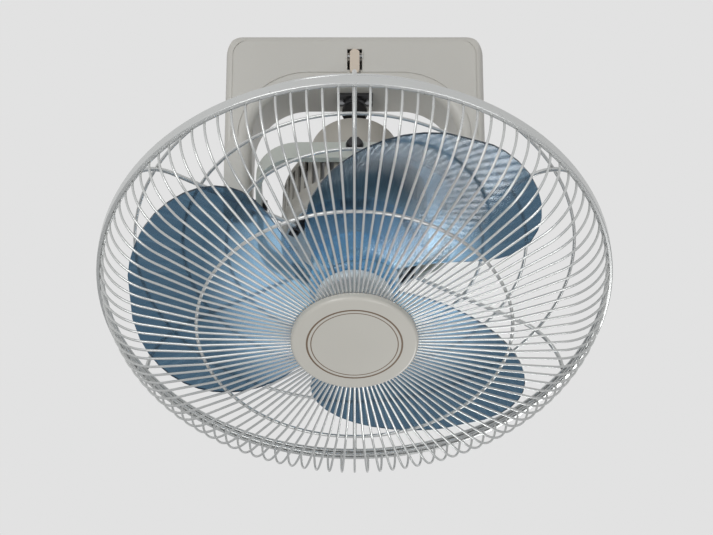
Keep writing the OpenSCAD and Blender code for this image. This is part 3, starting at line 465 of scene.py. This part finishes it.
def smooth_copy(node):
    """A copy of a CAD node with shared corners and smooth round faces. It stands for the node."""
    piece = bpy.data.objects.new(node + "_look", nodes[node].data.copy())
    bpy.context.scene.collection.objects.link(piece)
    mesh = bmesh.new()
    mesh.from_mesh(piece.data)
    bmesh.ops.remove_doubles(mesh, verts=mesh.verts, dist=MERGE_M)
    sharp = math.radians(ROUND_BELOW_DEG)
    for edge in mesh.edges:
        edge.smooth = len(edge.link_faces) == 2 and edge.calc_face_angle(0.0) < sharp
    for face in mesh.faces:
        face.smooth = True
    mesh.to_mesh(piece.data)
    mesh.free()
    return piece


for node, cad in nodes.items():
    piece = smooth_copy(node)
    piece.data.materials.clear()
    piece.data.materials.append(looks[FINISH_OF_NODE.get(node, slot_of[node])])
    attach(piece, cad["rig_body"])
    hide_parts(node)
print(len(nodes), "pieces dressed")

# %% [markdown]
# ## Floor
# The fan hangs under a ceiling, over a plain floor. A floor lit only by the lamps renders darker
# than the room behind it, and stronger lamps would wash out the fan. So the paint adds a little
# light of its own, for the camera only, and still takes the fan's shadow.

# %% Floor
ROOM_H = 2.4
FLOOR_SIZE = 40.0
FLOOR_GREY = (0.72, 0.72, 0.72)
FLOOR_GLOW = 0.40

half = FLOOR_SIZE/2
corners = [(x, y, -ROOM_H) for x, y in ((-half, -half), (half, -half), (half, half), (-half, half))]
floor = bpy.data.objects.new("floor", bpy.data.meshes.new("floor"))
floor.data.from_pydata(corners, [], [(0, 1, 2, 3)])
paint = finish("floor_paint", FLOOR_GREY, 0.8, tone=0.02, patches=0.5)
tree = paint.node_tree
principled = tree.nodes["Principled BSDF"]
path = add(tree, "ShaderNodeLightPath")
glow = math_node(tree, "MULTIPLY", path.outputs["Is Camera Ray"], FLOOR_GLOW)
principled.inputs["Emission Color"].default_value = (1, 1, 1, 1)
link(tree, glow, principled.inputs["Emission Strength"])
floor.data.materials.append(paint)
bpy.context.scene.collection.objects.link(floor)
print("floor", FLOOR_SIZE, "m wide,", ROOM_H, "m below the ceiling")

# %% [markdown]
# ## Surround
# The camera, gloss and clear plastic see an even pale grey. Matt surfaces are lit by a dimmer
# level, so that the lamps can shape them without the pale plastic clipping to white. Light Path
# tells the two kinds of ray apart.

# %% Surround
SEEN_GREY = (0.76, 0.76, 0.76)
LIT_GREY = (0.47, 0.475, 0.49)

world = bpy.data.worlds.new("studio")
bpy.context.scene.world = world
world.use_nodes = True
sky = world.node_tree
background = sky.nodes["Background"]
background.inputs["Strength"].default_value = 1.0
path = add(sky, "ShaderNodeLightPath")
seen = math_node(sky, "MAXIMUM", path.outputs["Is Camera Ray"], path.outputs["Is Glossy Ray"])
seen = math_node(sky, "MAXIMUM", seen, path.outputs["Is Transmission Ray"])
link(sky, tinted(sky, LIT_GREY, seen, SEEN_GREY), background.inputs["Color"])
print("surround seen", SEEN_GREY[0], "and lit", LIT_GREY[0])

# %% [markdown]
# ## Lamps
# Large soft lamps suit pale plastic: a small one would draw hard shadows of a hundred wires on
# the blades. The key lamp lights housing and guard from the front left, and the fill lightens
# what faces down. The low lamp stands below and behind, where the upper right blade mirrors it
# towards the camera.

# %% Lamps
FAN_AT = Vector((0, -0.05, -0.22))
# name, place in metres, size in metres, power in watts
LAMPS = (
    ("key", (-1.0, -2.1, -0.1), 1.2, 21.0),
    ("fill", (0.7, -1.3, -1.7), 0.9, 11.0),
    ("low", (0.45, 0.62, -1.43), 0.36, 4.5),
)


def soft_lamp(name, at, size, power):
    """A square lamp that looks at the fan and that the camera doesn't see."""
    lamp = bpy.data.objects.new(name, bpy.data.lights.new(name, "AREA"))
    lamp.data.size = size
    lamp.data.energy = power
    lamp.location = at
    lamp.rotation_euler = (FAN_AT - Vector(at)).to_track_quat("-Z", "Y").to_euler()
    lamp.visible_camera = False
    bpy.context.scene.collection.objects.link(lamp)


for lamp in LAMPS:
    soft_lamp(*lamp)
print("lamps", [(name, power) for name, _, _, power in LAMPS])
